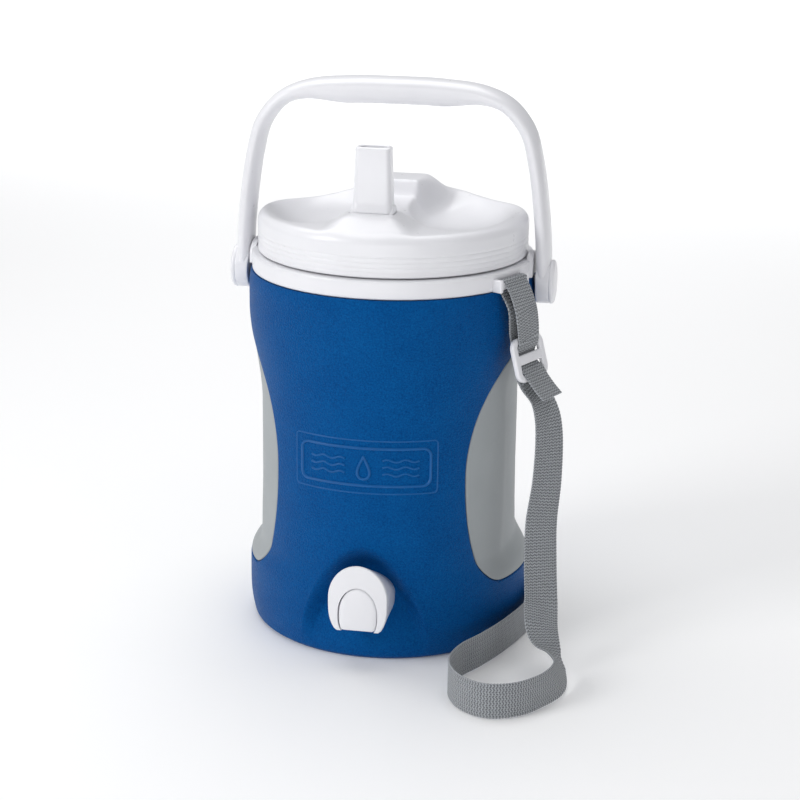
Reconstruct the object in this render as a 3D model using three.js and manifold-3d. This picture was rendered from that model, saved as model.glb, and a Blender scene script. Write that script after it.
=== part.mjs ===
// Insulated beverage jug: 1 gallon, with a flip spout, a push-button spigot, a bail handle and a shoulder strap.
// Millimetres, +Z up, origin at the centre of the base on the table. The spigot faces -Y, the bail turns about X.
import * as THREE from "three";
import { mergeVertices } from "three/addons/utils/BufferGeometryUtils.js";
import Module from "manifold-3d";

const wasm = await Module();
wasm.setup();

// ---- driving dimensions ------------------------------------------------------------------------------------------
const GAP = 0.3; // between pieces that touch
const SIDES = 48; // facets round the body
const SHELL = { r: 93.3, top: 237, wall: 3.4 };
const WAIST = { depth: 9.2, top: 214, full: 152, lipLow: 43, lipHigh: 61 };
const ARCH = { halfWidth: 43.5, top: 78, depth: 12, slope: 9 };
const PANEL = { bottom: 42, widest: 120, top: 210, halfAngle: 48, recess: 2.0, proud: -0.5 };
const LINER = { r: 72, wall: 2.2, bottom: 18, top: 252 };
const FOAM = { bottom: 4.2, top: 217 };
const COLLAR = { r: 91.6, low: SHELL.top + GAP, high: 249.2, skirt: 220, skirtIn: 86.3, inner: 75 };
const LUG = { front: 62.5, back: 228, in: 93.8, out: 96.1, z: 241.4, bar: 2.4, half: 15.2, post: 2.8 };
const BAIL = { z: 233, hubR: 14, hubIn: 94.3, hubOut: 103, depth: 13, half: 5, pad: 12.2 };
const PIN = { r: 4, headR: 7, head: 99.6, from: 77 };
const LID = { r: 87.4, wall: 2.6, low: 249.8, rim: 275.5, fillet: 6, under: 259.9 };
const PLUG = { r: 71.2, wall: 2.4, bottom: 230, flange: 257 };
const RIDGE = { x: -3, bowlX: 45, bowlY: 8, bowlA: 34, bowlB: 62, bowlZ: 262.9 };
const SPOUT = { y: -52, z: 280, width: 23, depth: 13, top: 324.5, drumR: 8.6, drumHalf: 13.6 };
const SPIGOT = { z: 43, face: -109, back: -82, seat: 19.5, tube: 11.5 };
const BUTTON = { halfWidth: 12.2, top: 55, middle: 38, bottom: 28, front: -108.7, back: -103 };
const STRAP = { width: 23, thick: 1.2 };
const BUCKLE = { angle: 65, r: 105.6, z: 194.3, tilt: 16, width: 35, height: 28, thick: 3.6 };

// ---- colours -----------------------------------------------------------------------------------------------------
const plastic = (color, roughness = 0.45) => new THREE.MeshStandardMaterial({ color, roughness, metalness: 0 });
const PAINT = {
  blue: plastic(0x10509a, 0.5),
  white: plastic(0xebebf0, 0.35),
  grey: plastic(0x8f9698, 0.6),
  webbing: plastic(0x8c9194, 0.9),
  foam: plastic(0xf2e6b8, 0.9),
  rubber: plastic(0x3a3c3f, 0.8),
  steel: new THREE.MeshStandardMaterial({ color: 0xb9bcc0, roughness: 0.3, metalness: 1 }),
};

// ---- solids ------------------------------------------------------------------------------------------------------
// A closed geometry as a solid for joining and cutting.
function solid(geometry) {
  const bare = geometry.index ? geometry.toNonIndexed() : geometry.clone();
  bare.deleteAttribute("normal");
  bare.deleteAttribute("uv");
  const merged = mergeVertices(bare, 1e-3);
  const vertProperties = merged.attributes.position.array;
  const triVerts = new Uint32Array(merged.index.array);
  return new wasm.Manifold(new wasm.Mesh({ numProp: 3, vertProperties, triVerts }));
}

// A solid as a geometry, without the slivers that cutting leaves.
function geometryOf(body) {
  const mesh = body.simplify(0.02).getMesh();
  const geometry = new THREE.BufferGeometry();
  geometry.setAttribute("position", new THREE.BufferAttribute(mesh.vertProperties, 3));
  geometry.setIndex(new THREE.BufferAttribute(mesh.triVerts, 1));
  return geometry;
}

const join = (first, ...others) => others.reduce((sum, other) => sum.add(other), first);
const cut = (first, ...others) => others.reduce((rest, other) => rest.subtract(other), first);

// Rings of points, each with the same count, joined in order and closed by a fan at both ends.
function stack(rings) {
  const count = rings[0].length;
  const points = rings.flat();
  const faces = [];
  for (let r = 0; r + 1 < rings.length; r++) {
    for (let i = 0; i < count; i++) {
      const j = (i + 1) % count;
      const [a, b, c, d] = [r * count + i, r * count + j, (r + 1) * count + j, (r + 1) * count + i];
      faces.push(a, b, c, a, c, d);
    }
  }
  const centre = (ring) => ring.reduce((sum, p) => sum.add(p), new THREE.Vector3()).divideScalar(count);
  points.push(centre(rings[0]), centre(rings[rings.length - 1]));
  const [first, last] = [points.length - 2, points.length - 1];
  const base = (rings.length - 1) * count;
  for (let i = 0; i < count; i++) {
    const j = (i + 1) % count;
    faces.push(first, j, i, last, base + i, base + j);
  }
  const geometry = new THREE.BufferGeometry().setFromPoints(points);
  geometry.setIndex(faces);
  return geometry;
}

// A turned piece about Z from [radius, z] corners that start and end on the axis or close on themselves.
function turned(corners, sides = 40) {
  const closed = corners[0][0] > 0 ? [...corners, corners[0]] : corners;
  return new THREE.LatheGeometry(
    closed.map(([r, z]) => new THREE.Vector2(r, z)),
    sides,
  ).rotateX(Math.PI / 2);
}

// A ring with a rectangular section about Z.
const ring = (inner, outer, low, high, sides) =>
  turned([[inner, low], [outer, low], [outer, high], [inner, high]], sides);

// A round bar between two places along an axis, "x", "y" or "z".
function bar(axis, radius, from, to, sides = 24) {
  const body = new THREE.CylinderGeometry(radius, radius, to - from, sides).translate(0, (from + to) / 2, 0);
  if (axis === "x") body.rotateZ(-Math.PI / 2);
  if (axis === "z") body.rotateX(Math.PI / 2);
  return body;
}

const block = (x0, x1, y0, y1, z0, z1) =>
  new THREE.BoxGeometry(x1 - x0, y1 - y0, z1 - z0).translate((x0 + x1) / 2, (y0 + y1) / 2, (z0 + z1) / 2);

const smooth = (from, to, x) => THREE.MathUtils.smoothstep(x, from, to);
const radians = THREE.MathUtils.degToRad;

// A piece's mesh. Every mesh is placed in the jug's own frame.
const jug = new THREE.Group();
function piece(name, geometry, material, parent = jug) {
  const mesh = new THREE.Mesh(geometry, material);
  mesh.name = name;
  parent.add(mesh);
  return mesh;
}

// ---- the body's outer surface ------------------------------------------------------------------------------------
// Radius at an angle from the front and a height: a barrel, waisted at both sides, with an arch pressed in in front.
function barrel(z) {
  const foot = 3.4 * Math.max(0, 1 - z / 24) ** 2 + 2.2 * Math.max(0, 1 - z / 3) ** 2;
  return SHELL.r + 0.5 * (1 - smooth(30, 60, z)) - foot - 1.3 * Math.max(0, (z - 227) / 10) ** 2;
}

function waist(z) {
  const upper = 1 - smooth(WAIST.full, WAIST.top, z);
  const lip = 0.86 * smooth(WAIST.lipLow, WAIST.lipHigh, z) + 0.14 * smooth(WAIST.lipHigh, 105, z);
  return WAIST.depth * upper * lip;
}

function arch(x, z) {
  const halfWidth = ARCH.halfWidth * Math.max(0, 1 - (Math.max(0, z) / ARCH.top) ** 1.8) ** 0.6;
  const top = ARCH.top * Math.max(0, 1 - (Math.abs(x) / ARCH.halfWidth) ** 1.667) ** 0.556;
  const inside = Math.min(halfWidth - Math.abs(x), top - z) / ARCH.slope;
  return ARCH.depth * smooth(0, 1, inside) * smooth(2, 40, z);
}

function bodyRadius(angle, z) {
  const side = waist(z) * Math.sin(angle) ** 4;
  const front = Math.cos(angle) > 0 ? arch(SHELL.r * Math.sin(angle), z) : 0;
  return barrel(z) - side - front;
}

const LOW_HEIGHTS = [0, 1.5, 5, 12, 22, 34, 43, 49, 55, 61, 69, 77, 84];
const BODY_HEIGHTS = [...LOW_HEIGHTS, 110, 152, 170, 190, 214, 227];

// A closed ring of points at one height, from the radius at each angle.
function circle(radiusAt, z) {
  return Array.from({ length: SIDES }, (_, i) => {
    const angle = (i / SIDES) * 2 * Math.PI;
    const r = radiusAt(angle);
    return new THREE.Vector3(r * Math.sin(angle), -r * Math.cos(angle), z);
  });
}

const bodyRing = (z, offset, height = z) => circle((angle) => bodyRadius(angle, z) + offset, height);

const bodySolid = (offset, heights) => solid(stack(heights.map((z) => bodyRing(z, offset))));

// ---- body pieces -------------------------------------------------------------------------------------------------
// The grip panel's outline seen from the side, grown by a margin: a pointed arch on a rounded foot.
function panelOutline(margin) {
  const { bottom, widest, top, halfAngle } = PANEL;
  const half = (z) => {
    const t = z > widest ? (z - widest) / (top - widest) : (widest - z) / (widest - bottom);
    const share = z > widest ? (1 - t * t) ** 0.72 : (1 - 0.18 * t * t) * (1 - t ** 4) ** 0.088;
    return 0.985 * SHELL.r * Math.sin(radians(halfAngle * share));
  };
  const steps = 18;
  const heights = Array.from({ length: steps }, (_, i) => {
    const t = (1 - Math.cos((Math.PI * (i + 0.5)) / steps)) / 2;
    return bottom + t * (top - bottom);
  });
  const grow = 1 + margin / (widest - bottom);
  const right = heights.map((z) => new THREE.Vector2(half(z) + margin, widest + (z - widest) * grow));
  const left = right.map((p) => new THREE.Vector2(-p.x, p.y)).reverse();
  return new THREE.Shape([...right, ...left]);
}

// The outline's prism on the +X side or the -X side.
function panelPrism(side, margin) {
  const prism = new THREE.ExtrudeGeometry(panelOutline(margin), { depth: 80, bevelEnabled: false });
  prism.rotateX(Math.PI / 2).rotateZ(Math.PI / 2).translate(30, 0, 0);
  return solid(side > 0 ? prism : prism.rotateZ(Math.PI));
}

const gripHeights = BODY_HEIGHTS.filter((z) => z > 35 && z < 220);
const gripSkin = (outer, inner) => bodySolid(outer, gripHeights).subtract(bodySolid(inner, [30, ...gripHeights, 222]));

function outerShell() {
  const outer = [...BODY_HEIGHTS, SHELL.top].map((z) => bodyRing(z, 0));
  const inner = BODY_HEIGHTS.filter((z) => z > 3).map((z) => bodyRing(z, -SHELL.wall));
  const rim = bodyRing(SHELL.top, -SHELL.wall);
  const floor = bodyRing(8, -SHELL.wall - 3, SHELL.wall + 0.2);
  const whole = solid(stack([...outer, rim, ...inner.reverse(), floor]));
  const recess = gripSkin(4, -PANEL.recess);
  const sides = [1, -1].map((side) => recess.intersect(panelPrism(side, GAP)));
  const spigotHole = solid(bar("y", SPIGOT.tube + 0.5, -100, -60).translate(0, 0, SPIGOT.z));
  const pinHoles = solid(bar("x", PIN.r + 0.4, -110, 110).translate(0, 0, BAIL.z));
  const fillHole = solid(bar("z", 11.4, -5, 10));
  return geometryOf(cut(whole, ...sides, spigotHole, pinHoles, fillHole));
}

function gripPanel(side) {
  return geometryOf(gripSkin(PANEL.proud, -PANEL.recess + GAP).intersect(panelPrism(side, -0.2)));
}

// Foam fills the space between shell and liner, and stops short of the spigot's recess.
function foamInsulation() {
  const clear = SHELL.wall + 3;
  const slice = (z, shrink, window) =>
    circle((angle) => {
      const fromFront = Math.abs(THREE.MathUtils.radToDeg(Math.atan2(Math.sin(angle), Math.cos(angle))));
      const front = window * (1 - smooth(29, 37, fromFront));
      return SHELL.r - clear - shrink - WAIST.depth * Math.sin(angle) ** 4 - front;
    }, z);
  const open = ARCH.depth + 6;
  const outer = stack([slice(FOAM.bottom, 4, open), slice(12, 0, open), slice(ARCH.top + 5, 0, open),
    slice(ARCH.top + 8, 0, 0), slice(FOAM.top, 0, 0)]);
  const room = LINER.r + LINER.wall + 0.4;
  const cavity = turned([[0, LINER.bottom - 0.4], [room, LINER.bottom - 0.4], [room, 300], [0, 300]], 40);
  return geometryOf(cut(solid(outer), solid(cavity)));
}

function innerLiner() {
  const { r, wall, bottom, top } = LINER;
  const cup = turned([[0, bottom], [r + wall - 8, bottom], [r + wall, bottom + 8], [r + wall, top], [r, top],
    [r, bottom + 8], [r - 6, bottom + wall], [0, bottom + wall]], 40);
  const bore = bar("y", SPIGOT.tube + 0.5, -100, -60).translate(0, 0, SPIGOT.z);
  return geometryOf(cut(solid(cup), solid(bore)));
}

// ---- collar ------------------------------------------------------------------------------------------------------
// A strap lug: a flat bar held off the collar by two posts, at an angle round the jug.
function lug(angle) {
  const { in: near, out, z, bar: half, half: reach, post } = LUG;
  const rod = block(-reach, reach, -out, -near, z - half, z + half);
  const posts = [-reach, reach - post].map((x) => block(x, x + post, -out - 0.4, -80, z - 4, z + 4));
  return [rod, ...posts].map((part) => solid(part.rotateZ(radians(angle))));
}

function collarRing() {
  const { r, low, high, skirt, skirtIn, inner } = COLLAR;
  const skirtOut = SHELL.r - SHELL.wall - 1.8;
  const band = turned([[inner, 243], [skirtIn, 240], [skirtIn, skirt], [skirtOut, skirt], [skirtOut, low], [r, low],
    [r, high - 1.5], [r - 1.5, high], [inner, high]], SIDES);
  const sides = [1, -1].flatMap((side) => [
    solid(block(79, 87, -9, 9, 222, 245).rotateZ(side > 0 ? 0 : Math.PI)),
    solid(block(88.7, 92.4, -13, 13, low, 249.2).rotateZ(side > 0 ? 0 : Math.PI)),
  ]);
  const bore = solid(bar("x", PIN.r + 0.3, -110, 110).translate(0, 0, BAIL.z));
  return geometryOf(cut(join(solid(band), ...sides, ...lug(LUG.front), ...lug(LUG.back)), bore));
}

// ---- bail handle -------------------------------------------------------------------------------------------------
const bailSide = [[98.4, 236], [97.6, 258], [95.4, 282], [91.3, 309], [85.6, 329], [73.5, 344], [57, 351.6], [30, 354.9]];
const bailLine = new THREE.CatmullRomCurve3([
  ...bailSide.map(([x, z]) => new THREE.Vector3(-x, 0, z)),
  new THREE.Vector3(0, 0, 355.4),
  ...bailSide.map(([x, z]) => new THREE.Vector3(x, 0, z)).reverse(),
]);

// The bail's bar: an oval section swept over the top, with a thicker palm pad under the middle.
function bailBar() {
  const stations = 44;
  const corners = 12;
  const rings = Array.from({ length: stations + 1 }, (_, s) => {
    const t = s / stations;
    const centre = bailLine.getPointAt(t);
    const along = bailLine.getTangentAt(t);
    const out = new THREE.Vector3(-along.z, 0, along.x);
    const pad = BAIL.half + (BAIL.pad - BAIL.half) * (1 - smooth(28, 74, Math.abs(centre.x)));
    return Array.from({ length: corners }, (_, c) => {
      const a = (c / corners) * 2 * Math.PI;
      const thick = Math.sin(a) > 0 ? BAIL.half : pad;
      return centre.clone().addScaledVector(out, thick * Math.sin(a)).add(new THREE.Vector3(0, BAIL.depth * Math.cos(a), 0));
    });
  });
  return solid(stack(rings));
}

function bailHandle() {
  const hubs = [1, -1].flatMap((side) => {
    const turn = (body) => solid(body.translate(0, 0, BAIL.z).rotateZ(side > 0 ? 0 : Math.PI));
    return [
      [turn(bar("x", BAIL.hubR, BAIL.hubIn, BAIL.hubOut, 32))],
      [turn(bar("x", PIN.r + 0.4, 90, 110)), turn(bar("x", PIN.headR + 0.4, PIN.head - 0.2, 110))],
    ];
  });
  const drums = [...hubs[0], ...hubs[2]];
  const bores = [...hubs[1], ...hubs[3]];
  const below = solid(block(-120, 120, -20, 20, 200, BAIL.z));
  return geometryOf(cut(join(cut(bailBar(), below), ...drums), ...bores));
}

const hubCap = (side) => {
  const cap = turned([[0, 0], [BAIL.hubR + 0.4, 0], [BAIL.hubR + 0.4, 1.8], [BAIL.hubR - 0.8, 3], [0, 3.4]], 32);
  return cap.rotateY(Math.PI / 2).translate(BAIL.hubOut + GAP, 0, BAIL.z).rotateZ(side > 0 ? 0 : Math.PI);
};

const pivotPin = (side) => {
  const { r, headR, head, from } = PIN;
  const pin = turned([[0, from], [r, from], [r, head], [headR, head + 0.2], [headR, head + 3], [0, head + 3]], 20);
  return pin.rotateY(Math.PI / 2).translate(0, 0, BAIL.z).rotateZ(side > 0 ? 0 : Math.PI);
};

// ---- lid ---------------------------------------------------------------------------------------------------------
// Height of the ridge along the lid: up from the front, a saddle for the folded spout, and a hump behind it.
function ridgeHeight(y) {
  const front = 8.5 * smooth(-86, -66, y) * (1 - smooth(-46, -34, y));
  const saddle = 2.6 * smooth(-86, -66, y) * (1 - smooth(60, 86, y));
  const hump = 9.6 * smooth(30, 38, y) * (1 - smooth(62, 87, y));
  return Math.max(front, saddle) + hump;
}

function lidTop(x, y) {
  const across = Math.abs(x - RIDGE.x);
  const mask = 1 - smooth(12, 34, across);
  const plateau = LID.rim + ridgeHeight(y) * mask;
  const bowl = Math.hypot((across - RIDGE.bowlX) / RIDGE.bowlA, (y - RIDGE.bowlY) / RIDGE.bowlB);
  const top = RIDGE.bowlZ + (plateau - RIDGE.bowlZ) * Math.min(1, bowl) ** 3;
  const toEdge = Math.max(0, Math.hypot(x, y) - (LID.r - LID.fillet)) / LID.fillet;
  return top - LID.fillet * (1 - Math.sqrt(Math.max(0, 1 - toEdge * toEdge)));
}

function lidShell() {
  const sides = 48;
  const radii = [87.4, 87.1, 86.2, 84, 81, 76, 70, 62, 54, 46, 38, 30, 23, 16, 8];
  const level = (r, z) =>
    Array.from({ length: sides }, (_, i) => {
      const a = (i / sides) * 2 * Math.PI;
      const [x, y] = [r * Math.sin(a), -r * Math.cos(a)];
      return new THREE.Vector3(x, y, z ?? lidTop(x, y));
    });
  const inside = LID.r - LID.wall;
  const rings = [level(inside, LID.under), level(inside, LID.low), level(LID.r, LID.low), level(LID.r, 269),
    ...radii.map((r) => level(r))];
  const seat = solid(bar("x", SPOUT.drumR + 0.5, -SPOUT.drumHalf - 0.6, SPOUT.drumHalf + 0.6, 28)
    .translate(RIDGE.x, SPOUT.y, SPOUT.z));
  const duct = solid(bar("z", 5, 240, SPOUT.z).translate(RIDGE.x, SPOUT.y, 0));
  const pin = solid(bar("x", 1.9, -16.2, 16.2).translate(RIDGE.x, SPOUT.y, SPOUT.z));
  const pocket = solid(block(-14.1, 14.1, SPOUT.y, -24, 273.5, 300).translate(RIDGE.x, 0, 0));
  return geometryOf(cut(solid(stack(rings)), seat, duct, pin, pocket));
}

const ductHole = () => solid(bar("z", 5, 220, 270).translate(RIDGE.x, SPOUT.y, 0));

function lidPlug() {
  const { r, wall, bottom, flange } = PLUG;
  const top = LID.under - GAP;
  const cup = turned([[0, bottom], [r, bottom], [r, flange], [82, flange], [82, top], [r - wall, top],
    [r - wall, bottom + wall], [0, bottom + wall]], 40);
  return geometryOf(cut(solid(cup), ductHole()));
}

function lidFoam() {
  const { r, wall, bottom } = PLUG;
  const disc = bar("z", r - wall - 0.4, bottom + wall + GAP, LID.under - GAP, 40);
  return geometryOf(cut(solid(disc), ductHole()));
}

// ---- spout -------------------------------------------------------------------------------------------------------
function roundedRing(halfX, halfY, z, corner) {
  const shape = new THREE.Shape();
  const [x, y] = [halfX - corner, halfY - corner];
  shape.absarc(x, -y, corner, -Math.PI / 2, 0).absarc(x, y, corner, 0, Math.PI / 2);
  shape.absarc(-x, y, corner, Math.PI / 2, Math.PI).absarc(-x, -y, corner, Math.PI, 1.5 * Math.PI);
  return shape.getPoints(3).map((p) => new THREE.Vector3(p.x, p.y, z));
}

function spout() {
  const { width, depth, top, drumR, drumHalf } = SPOUT;
  const low = SPOUT.z + 4;
  const [w, d] = [width / 2, depth / 2];
  const tube = stack([roundedRing(w + 1.4, d + 1.6, low, 5), roundedRing(w + 0.9, d + 0.8, low + 5, 5),
    roundedRing(w, d, top - 18, 4.4), roundedRing(w - 0.5, d - 0.3, top - 1, 4.2), roundedRing(w - 1.3, d - 1, top, 3.6)]);
  const bore = stack([roundedRing(w - 3, d - 2.4, low - 6, 3), roundedRing(w - 3, d - 2.4, top + 4, 3)]);
  const place = (body) => solid(body.translate(RIDGE.x, SPOUT.y, 0));
  const drum = place(bar("x", drumR, -drumHalf, drumHalf, 28).translate(0, 0, SPOUT.z));
  const pin = place(bar("x", 1.9, -20, 20).translate(0, 0, SPOUT.z));
  const duct = place(bar("z", 3.4, SPOUT.z - 20, SPOUT.z + 8));
  return geometryOf(cut(join(drum, place(tube)), place(bore), duct, pin));
}

// ---- spigot ------------------------------------------------------------------------------------------------------
// An arch in the X-Z plane, to be stacked towards +Y: half an ellipse over sides that draw in to a flat foot.
function archRing(halfWidth, top, middle, bottom, foot, y, points = 14) {
  const over = Array.from({ length: points + 1 }, (_, i) => {
    const a = (i / points) * Math.PI;
    return [-halfWidth * Math.cos(a), middle + (top - middle) * Math.sin(a)];
  });
  const knee = [foot + 0.45 * (halfWidth - foot), (middle + 2 * bottom) / 3];
  const under = [knee, [foot, bottom], [-foot, bottom], [-knee[0], knee[1]]];
  return [...over, ...under].map(([x, z]) => new THREE.Vector3(x, y, z));
}

// The body tapers from its horseshoe face to a round foot against the shell.
function spigotHousing() {
  const { face, back, seat, tube, z } = SPIGOT;
  const body = stack([archRing(17.8, 69.8, 48, 27.4, 12.4, face), archRing(19, 71.1, 48, 26.2, 13.6, face + 1.2),
    archRing(19, 70, 48, 26.2, 13.6, face + 8), archRing(seat, z + seat, z, z - seat, 6, back)]);
  const slot = stack([archRing(12.6, 55.4, 38, 20, 11.2, face - 1), archRing(12.6, 55.4, 38, 20, 11.2, face + 16)]);
  const hollow = (radius, from, to) => solid(bar("y", radius, from, to).translate(0, 0, z));
  const outlet = solid(bar("z", 5, 10, z).translate(0, -88, 0));
  const seated = solid(body).subtract(bodySolid(GAP, LOW_HEIGHTS));
  const neck = hollow(tube, back - 4, -64.5);
  return geometryOf(cut(join(seated, neck), solid(slot), hollow(3.4, -100, -84), hollow(8, -90, -60), outlet));
}

function spigotButton() {
  const { halfWidth, top, middle, bottom, front, back } = BUTTON;
  const w = halfWidth;
  return stack([archRing(w - 0.8, top - 0.8, middle, bottom + 0.5, 10, front),
    archRing(w, top, middle, bottom, 10.8, front + 0.8), archRing(w, top, middle, bottom, 10.8, back)]);
}

// The seal closes the inner end of the housing's tube, and leaves it when the button is pushed in.
function valveStem() {
  const stem = turned([[0, BUTTON.back + GAP], [3, BUTTON.back + GAP], [3, -61.3], [6, -61.3], [6, -59.6], [0, -59.6]], 20);
  return stem.rotateX(-Math.PI / 2).translate(0, 0, SPIGOT.z);
}

class Coil extends THREE.Curve {
  constructor(radius, from, to, turns) {
    super();
    Object.assign(this, { radius, from, to, turns });
  }
  getPoint(t, target = new THREE.Vector3()) {
    const a = t * this.turns * 2 * Math.PI;
    const y = this.from + t * (this.to - this.from);
    return target.set(this.radius * Math.cos(a), y, SPIGOT.z + this.radius * Math.sin(a));
  }
}

function returnSpring() {
  const wire = new THREE.Shape().absarc(0, 0, 0.5, 0, 2 * Math.PI);
  const coil = new Coil(5, BUTTON.back + 0.9, -93.9, 3);
  return new THREE.ExtrudeGeometry(wire, { steps: 56, curveSegments: 3, bevelEnabled: false, extrudePath: coil });
}

// A ring with a rectangular section about Y at the spigot's height.
const spigotRing = (inner, outer, from, to) =>
  ring(inner, outer, from, to, 28).rotateX(-Math.PI / 2).translate(0, 0, SPIGOT.z);

// ---- shoulder strap ----------------------------------------------------------------------------------------------
// A place on the strap: the webbing's centre and the direction across it.
const place = (at, across) => ({ at: new THREE.Vector3(...at), across: new THREE.Vector3(...across).normalize() });

// Lying flat to the jug, at an angle round it from the front.
function flat(angle, r, z) {
  const [s, c] = [Math.sin(radians(angle)), Math.cos(radians(angle))];
  return place([r * s, -r * c, z], [c, s, 0]);
}

// Standing on one edge on the table.
const onEdge = (x, y) => place([x, y, STRAP.width / 2 + 0.5], [0, 0, -1]);

// From outside a lug's bar, bowed outwards below it, up over it and down behind it.
function overLug(angle, bow) {
  const off = 0.4 + STRAP.thick / 2;
  const [near, out, top] = [LUG.in - off, LUG.out + off, LUG.z + LUG.bar];
  const corner = 0.7 * off;
  return [[out + bow, 226], [out + 0.4 * bow, LUG.z - 4], [out, LUG.z + 1], [LUG.out + corner, top + corner],
    [(near + out) / 2, top + off], [LUG.in - corner, top + corner], [near, LUG.z + 1], [near + 0.1, LUG.z - 3],
    [near + 1.5, 229]].map(([r, z]) => flat(angle, r, z));
}

const BUCKLE_FRAME = (() => {
  const [s, c] = [Math.sin(radians(BUCKLE.angle)), Math.cos(radians(BUCKLE.angle))];
  const [lean, stand] = [Math.sin(radians(BUCKLE.tilt)), Math.cos(radians(BUCKLE.tilt))];
  const across = new THREE.Vector3(c, s, 0);
  const up = new THREE.Vector3(-lean * s, lean * c, stand);
  const out = across.clone().cross(up);
  const at = new THREE.Vector3(BUCKLE.r * s, -BUCKLE.r * c, BUCKLE.z);
  return { across, up, out, at };
})();

// Outside (positive side) or inside (negative) of the buckle, a distance up from its centre.
function besideBuckle(up, side) {
  const off = side * (BUCKLE.thick / 2 + 0.4 + STRAP.thick / 2);
  const at = BUCKLE_FRAME.at.clone().addScaledVector(BUCKLE_FRAME.up, up).addScaledVector(BUCKLE_FRAME.out, off);
  return { at, across: BUCKLE_FRAME.across };
}

// From the loose tail up past the buckle, over the front lug and back down past the buckle.
const UPPER_RUN = [
  place([110.4, -46.9, 172.5], [0.446, 0.895, 0.1]), ...[-17, 0, 17].map((up) => besideBuckle(up, 1.3)),
  ...overLug(LUG.front, 8), ...[16, 0, -17].map((up) => besideBuckle(up, -1.3)),
];

// Hanging from the buckle to the table, turning onto one edge at the end.
const HANGING_RUN = [
  place([107.2, -45.5, 170], [0.5, 0.866, 0]), place([110.5, -49, 145], [0.67, 0.742, 0]),
  place([110.5, -53, 116], [0.74, 0.673, 0]), place([108.4, -58, 90], [0.814, 0.58, 0]),
  place([109.2, -63, 65], [0.853, 0.523, -0.03]), place([111.2, -70, 42], [0.86, 0.51, -0.06]),
  place([113.6, -84, 29], [0.86, 0.46, -0.2]), place([119.1, -94, 20], [0.78, 0.3, -0.55]),
  place([124.8, -102, 16], [0.6, 0.2, -0.77]), place([128.9, -118, 13], [0.3, 0.1, -0.95]),
];

// Standing on edge on the table, in a loop to the front and then round behind.
const TABLE_RUN = [[121, -138], [106, -155], [88, -160], [71, -150], [62, -130], [65, -108], [76, -87], [87, -62],
  [97, -30], [102, 0], [98, 35], [80, 68], [50, 92], [12, 104]].map(([x, y]) => onEdge(x, y));

// Up from the table behind the jug and over the back lug.
const RISING_RUN = [
  place([-22, 105, 22], [-0.4, -0.1, -0.9]), place([-48, 94, 52], [-0.75, -0.5, -0.4]), flat(217, 101, 95),
  flat(224, 98.5, 150), flat(228, 97.4, 195), ...overLug(LUG.back, 0), flat(228, 94.4, 205),
];

// A flat band swept through its places, always square to its own path.
function ribbon(places, width, thick, steps) {
  const line = new THREE.CatmullRomCurve3(places.map((stop) => stop.at), false, "centripetal");
  const spans = places.length - 1;
  const rings = Array.from({ length: spans * steps + 1 }, (_, i) => {
    const k = Math.min(spans - 1, Math.floor(i / steps));
    const across = places[k].across.clone().lerp(places[k + 1].across, i / steps - k);
    const centre = line.getPoint(i / (spans * steps));
    const along = line.getTangent(i / (spans * steps));
    const side = across.addScaledVector(along, -across.dot(along)).setLength(width / 2);
    const face = along.clone().cross(side).setLength(thick / 2);
    return [[1, 1], [-1, 1], [-1, -1], [1, -1]].map(([a, b]) =>
      centre.clone().addScaledVector(side, a).addScaledVector(face, b));
  });
  return stack(rings);
}

function strapBuckle() {
  const { width, height, thick } = BUCKLE;
  const frame = new THREE.Shape(roundedRing(width / 2, height / 2, 0, 4));
  for (const y of [-7, 7]) {
    const slot = roundedRing(13, 3.7, 0, 1.5).map((p) => new THREE.Vector2(p.x, p.y + y));
    frame.holes.push(new THREE.Path(slot));
  }
  const { across, up, out, at } = BUCKLE_FRAME;
  const body = new THREE.ExtrudeGeometry(frame, { depth: thick, bevelEnabled: false }).translate(0, 0, -thick / 2);
  return body.applyMatrix4(new THREE.Matrix4().makeBasis(across, up, out).setPosition(at));
}

// ---- assembly ----------------------------------------------------------------------------------------------------
piece("outer_shell", outerShell(), PAINT.blue);
piece("foam_insulation", foamInsulation(), PAINT.foam);
piece("foam_fill_plug", bar("z", 11, 0, 3.2, 32), PAINT.rubber);
piece("inner_liner", innerLiner(), PAINT.white);
piece("grip_panel_right", gripPanel(1), PAINT.grey);
piece("grip_panel_left", gripPanel(-1), PAINT.grey);
piece("collar_ring", collarRing(), PAINT.white);

piece("bail_handle", bailHandle(), PAINT.white);
piece("hub_cap_right", hubCap(1), PAINT.white);
piece("hub_cap_left", hubCap(-1), PAINT.white);
piece("pivot_pin_right", pivotPin(1), PAINT.steel);
piece("pivot_pin_left", pivotPin(-1), PAINT.steel);

piece("lid_shell", lidShell(), PAINT.white);
piece("lid_plug", lidPlug(), PAINT.white);
piece("lid_foam", lidFoam(), PAINT.foam);
piece("lid_gasket", ring(71.6, 76.5, LINER.top + GAP, PLUG.flange - GAP, 40), PAINT.rubber);
piece("spout", spout(), PAINT.white);
piece("spout_pin", bar("x", 1.5, -16, 16, 16).translate(RIDGE.x, SPOUT.y, SPOUT.z), PAINT.steel);
piece("spout_seal", ring(3.6, 4.7, 268, 271, 24).translate(RIDGE.x, SPOUT.y, 0), PAINT.rubber);

piece("spigot_housing", spigotHousing(), PAINT.white);
piece("spigot_button", spigotButton(), PAINT.white);
piece("valve_stem", valveStem(), PAINT.white);
piece("valve_seal", spigotRing(3.3, 10, -64.2, -61.6), PAINT.rubber);
piece("return_spring", returnSpring(), PAINT.steel);
piece("spigot_gasket", spigotRing(12, 16.5, -69.6, -68.3), PAINT.rubber);
piece("spigot_nut", spigotRing(11.8, 17, -68, -64.6), PAINT.white);

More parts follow.
